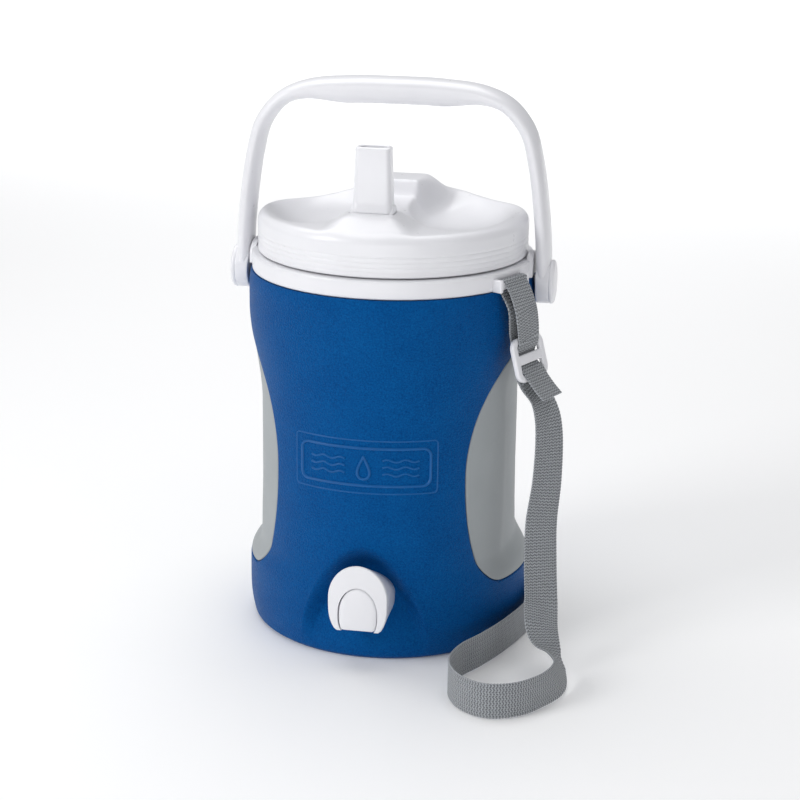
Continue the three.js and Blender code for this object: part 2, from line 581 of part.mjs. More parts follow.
piece("shoulder_strap", ribbon([...UPPER_RUN, ...HANGING_RUN, ...TABLE_RUN, ...RISING_RUN], STRAP.width, STRAP.thick, 3), PAINT.webbing);
piece("strap_buckle", strapBuckle(), PAINT.white);

export default jug;
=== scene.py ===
"""The looks of an insulated drinks jug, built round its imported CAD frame, in millimetres turned to metres."""
import math

import bmesh
import bpy
import numpy as np
from mathutils import Matrix, Vector


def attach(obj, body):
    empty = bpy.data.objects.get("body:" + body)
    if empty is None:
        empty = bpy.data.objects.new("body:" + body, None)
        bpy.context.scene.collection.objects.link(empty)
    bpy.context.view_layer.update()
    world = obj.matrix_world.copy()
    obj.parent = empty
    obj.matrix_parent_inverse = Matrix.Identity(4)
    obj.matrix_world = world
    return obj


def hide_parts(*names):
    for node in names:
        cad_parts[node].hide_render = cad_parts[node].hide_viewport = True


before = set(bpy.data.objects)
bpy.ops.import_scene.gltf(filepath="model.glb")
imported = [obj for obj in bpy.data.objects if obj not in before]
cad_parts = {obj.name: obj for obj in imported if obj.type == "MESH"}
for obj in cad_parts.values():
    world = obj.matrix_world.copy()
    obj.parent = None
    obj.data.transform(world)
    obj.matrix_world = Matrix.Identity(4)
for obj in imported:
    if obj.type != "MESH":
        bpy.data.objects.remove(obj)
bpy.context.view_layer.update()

MM = 0.001

# ---- driving dimensions, millimetres -----------------------------------------------------------------------
SHELL_R, SHELL_TOP = 93.3, 237.0
WAIST_DEPTH, WAIST_TOP, WAIST_FULL = 9.2, 214.0, 152.0
LIP_LOW, LIP_HIGH = 43.0, 61.0
ARCH_HALF, ARCH_TOP, ARCH_DEPTH, ARCH_SLOPE = 43.5, 78.0, 12.0, 9.0
PANEL_BOTTOM, PANEL_WIDEST, PANEL_TOP, PANEL_ANGLE = 42.0, 120.0, 210.0, 48.0
PANEL_RECESS, PANEL_GAP = 2.2, 0.4
COLLAR_R, COLLAR_LOW, COLLAR_HIGH, COLLAR_IN = 91.6, 237.3, 249.2, 75.0
LID_R, LID_LOW, LID_RIM, LID_UNDER, LID_FILLET = 87.4, 249.8, 275.5, 259.9, 6.0
RIDGE_X, BOWL_X, BOWL_Y, BOWL_A, BOWL_B, BOWL_Z = -3.0, 46.7, 12.0, 32.6, 61.0, 262.9
SPOUT_Y, SPOUT_Z, SPOUT_W, SPOUT_D, SPOUT_TOP = -52.0, 280.0, 23.0, 13.0, 324.5
DRUM_R, DRUM_HALF = 8.6, 13.6
BAIL_Z, BAIL_DEPTH, BAIL_HALF, BAIL_PAD = 233.0, 13.3, 5.0, 12.2
HUB_R, HUB_IN, HUB_OUT, PIN_HOLE = 14.0, 94.3, 103.0, 4.4
TAP_Z, TAP_FACE, TAP_BACK, TAP_SEAT = 43.0, -109.0, -82.0, 19.5
TAP_HALF, TAP_TOP, TAP_MIDDLE, TAP_LOW, TAP_FOOT = 19.0, 70.3, 48.0, 26.2, 14.1
BUTTON_HALF, BUTTON_TOP, BUTTON_MIDDLE, BUTTON_LOW, BUTTON_FOOT = 12.2, 55.0, 38.0, 26.6, 10.5
BUTTON_FACE, BUTTON_BACK, BUTTON_GAP = -109.35, -103.0, 0.55
LUG_FRONT, LUG_BACK, LUG_IN, LUG_OUT, LUG_Z, LUG_BAR, LUG_HALF = 62.5, 228.0, 93.8, 96.1, 241.4, 2.4, 15.2
STRAP_W, STRAP_T, RIB, WARP = 23.0, 1.2, 1.9, 1.45
BADGE_Z, BADGE_HALF, BADGE_TALL = 130.7, 45.5, 15.0
BUCKLE_AT, BUCKLE_R, BUCKLE_Z, BUCKLE_TILT = 65.0, 105.6, 194.3, 16.0
BUCKLE_W, BUCKLE_H, BUCKLE_T = 35.0, 28.0, 3.6


# ---- small helpers -----------------------------------------------------------------------------------------
def smooth(low, high, x):
    """0 below low and 1 above high, with a soft step between; low may be the larger."""
    t = np.clip((x - low) / (high - low), 0.0, 1.0)
    return t * t * (3.0 - 2.0 * t)


def around(angle, r, z):
    """A point at an angle in degrees from the front towards +X."""
    a = math.radians(angle)
    return np.array([r * math.sin(a), -r * math.cos(a), z])


def new_object(name, points, faces, material, body, slot, replaces=(), sharp=35.0):
    """A mesh piece from points in millimetres, smooth but for edges sharper than the angle given."""
    mesh = bpy.data.meshes.new(name)
    mesh.from_pydata((np.asarray(points, dtype=float).reshape(-1, 3) * MM).tolist(), [], faces)
    work = bmesh.new()
    work.from_mesh(mesh)
    bmesh.ops.remove_doubles(work, verts=work.verts, dist=2e-6)
    bmesh.ops.dissolve_degenerate(work, edges=work.edges, dist=1e-6)
    work.to_mesh(mesh)
    work.free()
    return dress(bpy.data.objects.new(name, mesh), material, body, slot, replaces, sharp)


def dress(piece, material, body, slot, replaces=(), sharp=35.0):
    """Gives a piece its smooth shading, material and body, and hides the nodes that it replaces; slot is not
    used.
    """
    if piece.name not in bpy.context.scene.collection.objects:
        bpy.context.scene.collection.objects.link(piece)
    piece.data.shade_smooth()
    piece.data.set_sharp_from_angle(angle=math.radians(sharp))
    piece.data.materials.clear()
    piece.data.materials.append(material)
    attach(piece, body)
    if replaces:
        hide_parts(*replaces)
    return piece


def grid_faces(rows, cols, wrap=True, start=0):
    """Quads over rows of points, closed round each row when wrap is set."""
    faces = []
    for r in range(rows - 1):
        for c in range(cols if wrap else cols - 1):
            d = (c + 1) % cols
            a = start + r * cols
            b = a + cols
            faces.append((a + c, a + d, b + d, b + c))
    return faces


def rings(stack, cap_first=True, cap_last=True):
    """Points and faces of closed rings joined in order."""
    stack = np.asarray(stack, dtype=float)
    rows, cols = stack.shape[:2]
    faces = grid_faces(rows, cols)
    if cap_first:
        faces.append(tuple(reversed(range(cols))))
    if cap_last:
        faces.append(tuple(range((rows - 1) * cols, rows * cols)))
    return stack.reshape(-1, 3), faces


def turned(profile, segments=180):
    """A turned shape about Z from radius and height pairs, without caps."""
    a = np.linspace(0, 2 * math.pi, segments, endpoint=False)
    stack = [[(r * math.sin(t), -r * math.cos(t), z) for t in a] for r, z in profile]
    return rings(stack, False, False)


def rounded(corners, radius, steps=5):
    """Corner points of an open profile with each inner corner rounded."""
    out = [np.array(corners[0], float)]
    for before, at, after in zip(corners, corners[1:], corners[2:]):
        before, at, after = (np.array(p, float) for p in (before, at, after))
        one, two = before - at, after - at
        reach = min(radius, 0.45 * np.linalg.norm(one), 0.45 * np.linalg.norm(two))
        first = at + one / np.linalg.norm(one) * reach
        last = at + two / np.linalg.norm(two) * reach
        for t in np.linspace(0, 1, steps):
            out.append((1 - t) ** 2 * first + 2 * t * (1 - t) * at + t * t * last)
    out.append(np.array(corners[-1], float))
    return out


def joined(*parts):
    """Several points-and-faces parts as one."""
    points, faces, start = [], [], 0
    for some, theirs in parts:
        some = np.asarray(some, dtype=float).reshape(-1, 3)
        points.append(some)
        faces += [tuple(i + start for i in face) for face in theirs]
        start += len(some)
    return np.vstack(points), faces


def soft_block(size, radius, steps=4):
    """A block centred on the origin with rounded edges."""
    work = bmesh.new()
    bmesh.ops.create_cube(work, size=1.0)
    for v in work.verts:
        v.co = Vector((v.co.x * size[0], v.co.y * size[1], v.co.z * size[2]))
    whole = work.edges[:] + work.verts[:]
    bmesh.ops.bevel(work, geom=whole, offset=radius, segments=steps, profile=0.5, affect="EDGES")
    points = np.array([v.co[:] for v in work.verts])
    faces = [tuple(v.index for v in f.verts) for f in work.faces]
    work.free()
    return points, faces


def moved(part, axes, at):
    """A part turned so that its X, Y and Z lie along three axes, then moved."""
    points, faces = part
    return points @ np.array(axes, dtype=float) + np.array(at, dtype=float), faces


def rounded_ring(half_x, half_y, z, corner, steps=8):
    """A rectangle with rounded corners, seen from above."""
    points = []
    for k, (sx, sy) in enumerate([(1, -1), (1, 1), (-1, 1), (-1, -1)]):
        for t in np.linspace(0, math.pi / 2, steps):
            a = -math.pi / 2 + k * math.pi / 2 + t
            x = sx * (half_x - corner) + corner * math.cos(a)
            y = sy * (half_y - corner) + corner * math.sin(a)
            points.append((x, y, z))
    return points


# ---- materials ---------------------------------------------------------------------------------------------
class Nodes:
    """A material's node tree, with short ways to add and link nodes."""

    def __init__(self, name):
        self.material = bpy.data.materials.new(name)
        self.material.use_nodes = True
        self.tree = self.material.node_tree
        self.shader = self.tree.nodes["Principled BSDF"]

    def add(self, kind, inputs=None, **settings):
        node = self.tree.nodes.new(kind)
        for key, value in settings.items():
            setattr(node, key, value)
        for key, value in (inputs or {}).items():
            if isinstance(value, bpy.types.NodeSocket):
                self.tree.links.new(value, node.inputs[key])
            else:
                node.inputs[key].default_value = value
        return node

    def place(self):
        return self.add("ShaderNodeTexCoord").outputs["Object"]

    def noise(self, scale, detail=3.0, rough=0.55, at=None):
        inputs = {"Vector": at or self.place(), "Scale": scale, "Detail": detail, "Roughness": rough}
        return self.add("ShaderNodeTexNoise", inputs).outputs["Fac"]

    def math(self, how, a, b=0.0, c=0.0):
        return self.add("ShaderNodeMath", {0: a, 1: b, 2: c}, operation=how).outputs[0]

    def ramp(self, value, low, high):
        inputs = {"Value": value, "To Min": low, "To Max": high}
        return self.add("ShaderNodeMapRange", inputs).outputs["Result"]

    def mix(self, factor, one, two):
        node = self.add("ShaderNodeMix", {"Factor": factor}, data_type="RGBA")
        node.inputs[6].default_value = (*one, 1)
        node.inputs[7].default_value = (*two, 1)
        return node.outputs[2]

    def bump(self, height, strength, distance):
        inputs = {"Height": height, "Strength": strength, "Distance": distance}
        return self.add("ShaderNodeBump", inputs).outputs["Normal"]

    def set(self, **sockets):
        for key, value in sockets.items():
            name = key.replace("_", " ")
            if isinstance(value, bpy.types.NodeSocket):
                self.tree.links.new(value, self.shader.inputs[name])
            else:
                self.shader.inputs[name].default_value = value
        return self.material


def pebbled_blue():
    """Satin blue plastic with a fine pebbled grain and a random tone, with fine paler flecks painted in as glints
    on the grain.
    """
    n = Nodes("pebbled_blue_plastic")
    cells = n.add("ShaderNodeTexVoronoi", {"Vector": n.place(), "Scale": 950.0, "Randomness": 1.0})
    grain = n.math("MULTIPLY_ADD", n.noise(1500.0, 2.0), 0.9, cells.outputs["Distance"])
    # painted glint: fine paler specks painted into the colour for the glints on the pebbled grain; tone carries
    # them into the colour and the specular tint
    painted_glint_fleck = n.math("MULTIPLY_ADD", n.noise(1000.0, 3.0), 1.5, -0.42)
    tone = n.math("MULTIPLY_ADD", n.noise(40.0, 4.0), 0.3, n.math("MULTIPLY", painted_glint_fleck, 0.95))
    colour = n.mix(tone, (0.0004, 0.036, 0.165), (0.0025, 0.110, 0.355))
    rough = n.ramp(n.noise(600.0, 3.0), 0.40, 0.56)
    tint = n.mix(tone, (0.10, 0.45, 1.0), (0.16, 0.60, 1.0))
    return n.set(Base_Color=colour, Roughness=rough, Normal=n.bump(grain, 0.8, 0.0004),
                 Specular_IOR_Level=0.16, Specular_Tint=tint)


def polished_highlit_blue():
    """The blue of the raised lines, where the mould is polished: smoother, and a little paler as a painted
    highlight where the beads catch the light.
    """
    n = Nodes("polished_highlit_blue_plastic")
    # painted highlight: these colours are paler than the body's blue, standing in for the light the raised beads
    # catch
    colour = n.mix(n.noise(60.0, 3.0), (0.0015, 0.078, 0.27), (0.002, 0.108, 0.345))
    rough = n.ramp(n.noise(300.0, 2.0), 0.30, 0.42)
    return n.set(Base_Color=colour, Roughness=rough, Specular_IOR_Level=0.3)


def moulded_white(name, base=(0.84, 0.84, 0.865), shade=(0.78, 0.78, 0.81), rough=(0.24, 0.36)):
    """Semi-gloss moulded white, with a faint flow of tone and a very fine surface."""
    n = Nodes(name)
    tone = n.noise(24.0, 4.0)
    return n.set(Base_Color=n.mix(tone, base, shade), Roughness=n.ramp(n.noise(140.0, 4.0), *rough),
                 Normal=n.bump(n.noise(1500.0, 2.0), 0.10, 0.0001), Coat_Weight=0.15, Coat_Roughness=0.2)


def soft_grey():
    """Matte soft-touch grey of the grips."""
    n = Nodes("soft_grey_grip")
    colour = n.mix(n.noise(30.0, 4.0), (0.375, 0.40, 0.41), (0.315, 0.34, 0.35))
    return n.set(Base_Color=colour, Roughness=n.ramp(n.noise(400.0, 3.0), 0.46, 0.60),
                 Normal=n.bump(n.noise(2200.0, 2.0), 0.22, 0.0001))


def woven_webbing():
    """Woven webbing from its own UVs in millimetres: ribs across, chevrons along, with painted shade in the
    weave's hollows.
    """
    n = Nodes("woven_webbing")
    uv = n.add("ShaderNodeUVMap", uv_map="weave").outputs["UV"]
    split = n.add("ShaderNodeSeparateXYZ", {0: uv})
    across, along = split.outputs["X"], split.outputs["Y"]
    chevron = n.math("PINGPONG", across, WARP)
    slant = n.math("MULTIPLY_ADD", chevron, 0.62, along)
    picks = n.math("SINE", n.math("MULTIPLY", slant, 2 * math.pi / RIB))
    ends = n.math("SINE", n.math("MULTIPLY", across, 2 * math.pi / WARP))
    height = n.math("MULTIPLY_ADD", ends, 0.45, picks)
    # The colour follows the weave's height as well as a random yarn tone: painted shade in the weave's hollows,
    # paler on its raised picks.
    level = n.ramp(n.math("MULTIPLY_ADD", n.noise(1300.0, 3.0), 1.6, height), 0.0, 1.0)
    colour = n.mix(level, (0.125, 0.135, 0.146), (0.38, 0.40, 0.425))
    return n.set(Base_Color=colour, Roughness=0.72, Normal=n.bump(height, 0.8, 0.0004),
                 Sheen_Weight=0.25, Sheen_Roughness=0.5)


def cell_foam():
    """Poured yellowish foam, with its cells showing and painted shade darkening each cell's pit."""
    n = Nodes("poured_foam")
    cells = n.add("ShaderNodeTexVoronoi", {"Vector": n.place(), "Scale": 420.0})
    # painted shade: the colour follows the cells' depth, darker in each pit
    colour = n.mix(cells.outputs["Distance"], (0.80, 0.66, 0.34), (0.92, 0.82, 0.52))
    return n.set(Base_Color=colour, Roughness=0.9, Normal=n.bump(cells.outputs["Distance"], 0.6, 0.0006))


def seal_rubber():
    """Dark matte rubber of the seals and plugs."""
    n = Nodes("seal_rubber")
    colour = n.mix(n.noise(90.0, 4.0), (0.035, 0.036, 0.04), (0.07, 0.072, 0.078))
    return n.set(Base_Color=colour, Roughness=n.ramp(n.noise(300.0, 3.0), 0.6, 0.8),
                 Normal=n.bump(n.noise(1200.0, 3.0), 0.2, 0.0002))


def drawn_steel():
    """Drawn steel of the pins and the spring."""
    n = Nodes("drawn_steel")
    rough = n.ramp(n.noise(900.0, 3.0), 0.22, 0.4)
    colour = n.mix(n.noise(200.0, 3.0), (0.50, 0.51, 0.52), (0.62, 0.63, 0.64))
    return n.set(Base_Color=colour, Metallic=1.0, Roughness=rough,
                 Normal=n.bump(n.noise(1500.0, 2.0), 0.1, 0.0001))


BLUE = pebbled_blue()
POLISHED_HIGHLIT = polished_highlit_blue()
WHITE = moulded_white("moulded_white")
LINER_WHITE = moulded_white("liner_white", (0.82, 0.83, 0.84), (0.76, 0.77, 0.78), (0.3, 0.45))
GREY = soft_grey()
WEBBING = woven_webbing()
FOAM = cell_foam()
RUBBER = seal_rubber()
STEEL = drawn_steel()


# ---- the body's outer surface ------------------------------------------------------------------------------
def barrel(z):
    """The round body's radius at a height, with its rounded foot and shoulder."""
    foot = 3.4 * np.maximum(0, 1 - z / 24) ** 2 + 2.2 * np.maximum(0, 1 - z / 3) ** 2
    return SHELL_R + 0.5 * (1 - smooth(30, 60, z)) - foot - 1.3 * np.maximum(0, (z - 227) / 10) ** 2


def waist(z):
    """How far the sides draw in at a height."""
    lip = 0.86 * smooth(LIP_LOW, LIP_HIGH, z) + 0.14 * smooth(LIP_HIGH, 105, z)
    return WAIST_DEPTH * (1 - smooth(WAIST_FULL, WAIST_TOP, z)) * lip


def arch_inside(x, z):
    """Distance inside the front arch's edge."""
    half = ARCH_HALF * np.maximum(0, 1 - (np.maximum(0, z) / ARCH_TOP) ** 1.8) ** 0.6
    top = ARCH_TOP * np.maximum(0, 1 - (np.abs(x) / ARCH_HALF) ** 1.667) ** 0.556
    return np.minimum(half - np.abs(x), top - z)


def body_radius(a, z):
    """Radius at an angle in radians from the front and a height."""
    side = waist(z) * np.sin(a) ** 4
    inside = arch_inside(SHELL_R * np.sin(a), z)
    foot = smooth(2, 40, z)
    bead = 0.5 * np.exp(-((inside + 0.4) / 1.3) ** 2) * foot
    slope = ARCH_SLOPE + 8.0 * smooth(30, 70, z)
    front = np.where(np.cos(a) > 0, ARCH_DEPTH * smooth(0, 1, inside / slope) * foot - bead, 0.0)
    return barrel(z) - side - front


def surface(a, z, offset=0.0):
    """Points on the body at angles in radians and heights, moved out by an offset."""
    r = body_radius(a, z) + offset
    return np.stack([r * np.sin(a), -r * np.cos(a), z + 0 * a], axis=-1)


# ---- grip outline ------------------------------------------------------------------------------------------
def panel_half(z, margin=0.0):
    """Half width of the grip's outline, grown by a margin, at each height."""
    z = np.asarray(z, dtype=float)
    zz = PANEL_WIDEST + (z - PANEL_WIDEST) / (1 + margin / (PANEL_WIDEST - PANEL_BOTTOM))
    upper = zz > PANEL_WIDEST
    t = np.abs(zz - PANEL_WIDEST) / np.where(upper, PANEL_TOP - PANEL_WIDEST, PANEL_WIDEST - PANEL_BOTTOM)
    inside = t < 1
    t = np.minimum(t, 1)
    share = np.where(upper, (1 - t * t) ** 0.72, (1 - 0.18 * t * t) * (1 - t ** 4) ** 0.088)
    half = 0.985 * SHELL_R * np.sin(np.radians(PANEL_ANGLE * share)) + margin
    return np.where(inside, np.maximum(half, 0), 0.0)


def side_angle(y, z):
    """The angle from straight sideways at which the surface is a distance y from the X-Z plane."""
    phi = np.arcsin(np.clip(y / SHELL_R, -0.99, 0.99))
    for _ in range(4):
        r = barrel(z) - waist(z) * np.cos(phi) ** 4
        phi = np.arcsin(np.clip(y / r, -0.99, 0.99))
    return phi


def outline_points():
    """Half of the grip's outline as closely spaced points of distance from its middle and height."""
    t = (1 - np.cos(np.linspace(0, math.pi, 700))) / 2
    z = PANEL_BOTTOM + t * (PANEL_TOP - PANEL_BOTTOM)
    sides = np.stack([panel_half(z), z], axis=1)
    spaced = lambda one, two: np.linspace(one, two, 2 + int(np.linalg.norm(two - one) / 0.3))
    return np.vstack([spaced(one, two) for one, two in zip(sides[:-1], sides[1:])])


OUTLINE = outline_points()


def outside_panel(y, z):
    """Signed distance from the grip's outline, positive outside it."""
    flat = np.stack([np.abs(y).ravel(), z.ravel()], axis=1)
    out = np.empty(len(flat))
    for k in range(0, len(flat), 4000):
        some = flat[k:k + 4000]
        gap = np.sqrt(((some[:, None, :] - OUTLINE[None]) ** 2).sum(axis=2)).min(axis=1)
        reach, height = some[:, 0], some[:, 1]
        within = (reach < panel_half(height)) & (height > PANEL_BOTTOM) & (height < PANEL_TOP)
        out[k:k + 4000] = np.where(within, -gap, gap)
    return out.reshape(y.shape)


def rolled(distance, radius):
    """How far a rounded edge has dropped at a distance in from it."""
    d = np.clip(distance, 0, radius)
    return radius - np.sqrt(radius ** 2 - (radius - d) ** 2)


# ---- body --------------------------------------------------------------------------------------------------
def quarter_angles(z):
    """Angles from the front to straight sideways for one row, following the grip's outline on its way."""
    front = np.radians(np.linspace(0, 34, 58))
    margins = (1.5, 1.1, 0.8, 0.55, 0.35, 0.18, 0.05, -0.1)
    guide = max(z, PANEL_BOTTOM + 1.5)
    edge = [math.pi / 2 - float(side_angle(panel_half(guide, m), z)) for m in margins]
    between = np.linspace(front[-1], edge[0], 36)[1:-1]
    floor = np.linspace(edge[-1], math.pi / 2, 8)[1:]
    return np.concatenate([front, between, edge, floor])


def row_heights():
    """Heights of the body's rows, closer together at its ends and at the ends of the grips."""
    spans = [(0, 3, 7), (3, SHELL_TOP, 130), (PANEL_BOTTOM - 1.5, PANEL_BOTTOM + 8, 40),
             (PANEL_TOP - 4, PANEL_TOP + 2, 16), (SHELL_TOP - 9, SHELL_TOP, 10)]
    return np.unique(np.concatenate([np.linspace(*span) for span in spans]).round(3))


def jug_shell():
    """The blue body, with its grip recesses, its rim and the hollow under its foot."""
    rows = []
    for z in row_heights():
        quarter = quarter_angles(z)
        right = np.concatenate([quarter, (math.pi - quarter)[::-1][1:]])
        a = np.concatenate([right, (2 * math.pi - right)[::-1][1:-1]])
        height = np.full_like(a, z)
        points = surface(a, height)
        gap = outside_panel(points[:, 1], height)
        drop = np.where(gap > 0, rolled(gap, 0.9), PANEL_RECESS)
        rows.append(surface(a, height, -drop))
    inwards = ((0.9, 0), (2.2, 0), (3.4, 16))
    rim = [surface(a, np.full_like(a, SHELL_TOP - low), -edge) for edge, low in inwards]
    ring = lambda r, z: np.stack([r * np.sin(a), -r * np.cos(a), np.full_like(a, z)], axis=-1)
    under = [ring(r, z) for r, z in ((11.4, 2.6), (11.4, 0.3), (13.5, 0.9), (78, 0.9), (80, 0.0), (84, 0.0))]
    points, faces = rings(under + rows + rim, False, False)
    return new_object("jug_shell", points, faces, BLUE, "jug", "shell_blue", ["outer_shell"], sharp=50)


def grip(side, name, node):
    """A grip pad in its recess, with a rolled edge and a shallow scoop for the hand."""
    t = (1 - np.cos(np.linspace(0, math.pi, 150))) / 2
    low, high = PANEL_BOTTOM + PANEL_GAP, PANEL_TOP - PANEL_GAP * 1.2
    u = np.sin(np.linspace(-math.pi / 2, math.pi / 2, 90))
    rows = []
    for z in low + t * (high - low):
        half = float(panel_half(z, -PANEL_GAP))
        height = np.full_like(u, z)
        phi = side_angle(u * half, height)
        a = math.pi / 2 - phi
        points = surface(a, height)
        crease = 36 - 5 * smooth(60, 20, np.abs(height - PANEL_WIDEST))
        scoop = smooth(crease + 1.5, crease - 11, np.abs(points[:, 1]))
        scoop *= smooth(48, 66, height) * smooth(206, 170, height)
        edge = rolled(-outside_panel(points[:, 1], height) - PANEL_GAP, 1.0)
        drop = 0.45 + 1.3 * scoop + edge
        rows.append(surface(a, height, -drop))
    points = np.array(rows)
    points[..., 0] *= side
    faces = grid_faces(len(rows), len(u), wrap=False)
    if side > 0:
        faces = [tuple(reversed(face)) for face in faces]
    return new_object(name, points, faces, GREY, "jug", "grip_grey", [node], sharp=60)


# ---- badge: a plain frame with a water drop ----------------------------------------------------------------
def raised_path(path, half_width, height, closed=True, steps=7):
    """A low rounded bead laid along a path of arc length and height on the front of the body."""
    path = np.array(path, dtype=float)
    ahead = np.roll(path, -1, axis=0) - np.roll(path, 1, axis=0)
    if not closed:
        ahead[0], ahead[-1] = path[1] - path[0], path[-1] - path[-2]
    ahead /= np.linalg.norm(ahead, axis=1)[:, None]
    across = np.stack([ahead[:, 1], -ahead[:, 0]], axis=1)
    rows = []
    for t in np.linspace(-1, 1, steps):
        at = path + across * half_width * t
        lift = height * math.sqrt(max(0, 1 - t * t)) - 0.12
        rows.append(surface(at[:, 0] / SHELL_R, at[:, 1], lift))
    points = np.array(rows).transpose(1, 0, 2)
    count = len(path)
    faces = []
    for i in range(count if closed else count - 1):
        for k in range(steps - 1):
            a, b = i * steps + k, ((i + 1) % count) * steps + k
            faces.append((a, b, b + 1, a + 1))
    return points.reshape(-1, 3), faces


def badge():
    """A plain frame with a water drop between two sets of ripples."""
    fine = lambda ring: densified([(x, z + BADGE_Z) for x, z, _ in ring], 0.8)
    inner = fine(rounded_ring(BADGE_HALF - 3.0, BADGE_TALL - 2.8, 0, 5.0, 12))
    outer = fine(rounded_ring(BADGE_HALF + 1.6, BADGE_TALL + 2.2, 0, 2.5, 10))
    turn = np.linspace(0, 2 * math.pi, 80, endpoint=False)
    drop = [(5.6 * math.sin(t / 2) ** 1.5 * math.sin(t), BADGE_Z + 7.4 * math.cos(t) - 0.6) for t in turn]
    x = np.linspace(12, 35, 70)
    swell = 0.8 * np.sin((x - x[0]) * 2 * math.pi / 11.5)
    ripples = []
    for side in (-1, 1):
        for rise in (-4.6, 0, 4.6):
            wave = np.stack([side * x, BADGE_Z + rise + swell], axis=1)
            ripples.append(raised_path(wave, 0.7, 0.85, False))
    frames = [raised_path(inner, 1.0, 1.05), raised_path(outer, 0.55, 0.5)]
    part = joined(*frames, raised_path(drop, 0.95, 1.0), *ripples)
    return new_object("badge_relief", *part, POLISHED_HIGHLIT, "jug", "shell_blue", sharp=60)


def densified(path, step):
    """A closed path with more points on its long stretches."""
    out = []
    path = [np.array(p, dtype=float) for p in path]
    for one, two in zip(path, path[1:] + path[:1]):
        count = max(1, int(np.linalg.norm(two - one) / step))
        out += [one + (two - one) * k / count for k in range(count)]
    return out


# ---- collar ------------------------------------------------------------------------------------------------
def lug(angle):
    """A strap bar on two posts."""
    a = math.radians(angle)
    across, out, up = (math.cos(a), math.sin(a), 0), (math.sin(a), -math.cos(a), 0), (0, 0, 1)
    bar = moved(soft_block((2 * LUG_HALF, LUG_OUT - LUG_IN, 2 * LUG_BAR), 0.8), (across, out, up),
                around(angle, (LUG_IN + LUG_OUT) / 2, LUG_Z))
    root, tip = 84, LUG_OUT + 0.5
    posts = []
    for side in (-1, 1):
        block = soft_block((3.0, tip - root, 8.2), 0.9)
        at = around(angle, (tip + root) / 2, LUG_Z) + np.array(across) * side * (LUG_HALF - 1.4)
        posts.append(moved(block, (across, out, up), at))
    return [bar, *posts]


def ear(side):
    """The collar's shoulder beside the lid, inside a bail hub, seen from the side as a low rounded arch."""
    low, half, tall = COLLAR_LOW + 1, 15, 14.2
    t = np.linspace(0, math.pi, 40)
    rows = []
    for x, shrink in ((88.9, 0.9), (88.4, 0.3), (88.6, 0), (91.4, 0), (92.2, 0.4), (92.5, 1.2)):
        y = -(half - shrink) * np.cos(t)
        z = low + (tall - shrink) * np.abs(np.sin(t)) ** 0.6
        rows.append(np.stack([np.full_like(t, x), y, z], axis=1))
    points = np.array(rows)
    if side < 0:
        points[..., 0] *= -1
        points = points[::-1]
    return rings(points)


def collar():
    """The white ring on the body, with its skirt inside, two ears and two strap lugs."""
    band = rounded([(COLLAR_IN, 243), (86.3, 240), (86.3, 222), (88.1, 222), (88.1, COLLAR_LOW),
                    (COLLAR_R - 0.3, COLLAR_LOW), (COLLAR_R, COLLAR_HIGH - 0.5), (COLLAR_IN + 1, COLLAR_HIGH),
                    (COLLAR_IN, 243)], 1.4)
    part = joined(turned(band), ear(1), ear(-1), *lug(LUG_FRONT), *lug(LUG_BACK))
    return new_object("collar", *part, WHITE, "jug", "white_plastic", ["collar_ring"])


# ---- bail handle -------------------------------------------------------------------------------------------
BAIL_SIDE = [(98.4, 232), (97.7, 258), (95.4, 282), (91.3, 309), (85.6, 329), (73.5, 344), (57, 351.6),
             (30, 354.9)]


def spline(points, count):
    """Evenly spaced points on a centripetal Catmull-Rom curve, their places between the stops, and its length."""
    points = np.array(points, dtype=float)
    ends = np.vstack([2 * points[0] - points[1], points, 2 * points[-1] - points[-2]])
    fine, knots = [], []
    for k in range(len(points) - 1):
        p = ends[k:k + 4]
        t = np.concatenate([[0], np.cumsum(np.linalg.norm(np.diff(p, axis=0), axis=1) ** 0.5)])
        s = np.linspace(t[1], t[2], 60, endpoint=k == len(points) - 2)[:, None]
        mix = lambda a, b, ta, tb: (tb - s) / (tb - ta) * a + (s - ta) / (tb - ta) * b
        one, two, three = [mix(p[i], p[i + 1], t[i], t[i + 1]) for i in range(3)]
        four, five = mix(one, two, t[0], t[2]), mix(two, three, t[1], t[3])
        fine.append(mix(four, five, t[1], t[2]))
        knots.append(k + np.linspace(0, 1, len(s), endpoint=k == len(points) - 2))
    fine, knots = np.vstack(fine), np.concatenate(knots)
    run = np.concatenate([[0], np.cumsum(np.linalg.norm(np.diff(fine, axis=0), axis=1))])
    even = np.linspace(0, run[-1], count)
    at = np.stack([np.interp(even, run, fine[:, i]) for i in range(3)], axis=1)
    return at, np.interp(even, run, knots), run[-1]


def tangents(points):
    """Unit directions along a row of points."""
    along = np.gradient(points, axis=0)
    return along / np.linalg.norm(along, axis=1)[:, None]


def bail_bar():
    """The bow of the bail, deeper below its middle for the hand."""
    left = [(-x, 0, z) for x, z in BAIL_SIDE]
    right = [(x, 0, z) for x, z in BAIL_SIDE[::-1]]
    centre, _, _ = spline([*left, (0, 0, 355.4), *right], 220)
    along = tangents(centre)
    out = np.stack([-along[:, 2], 0 * along[:, 0], along[:, 0]], axis=1)
    corner = np.linspace(0, 2 * math.pi, 40, endpoint=False)
    bulge = np.sign(np.cos(corner)) * np.abs(np.cos(corner)) ** 0.86
    rise = np.sign(np.sin(corner)) * np.abs(np.sin(corner)) ** 0.9
    rows = []
    for p, n in zip(centre, out):
        pad = BAIL_HALF + (BAIL_PAD - BAIL_HALF) * (1 - float(smooth(28, 74, abs(p[0]))))
        thick = np.where(rise > 0, BAIL_HALF, pad)
        rows.append(p + n * (thick * rise)[:, None] + np.array([0, BAIL_DEPTH, 0]) * bulge[:, None])
    return rings(rows)


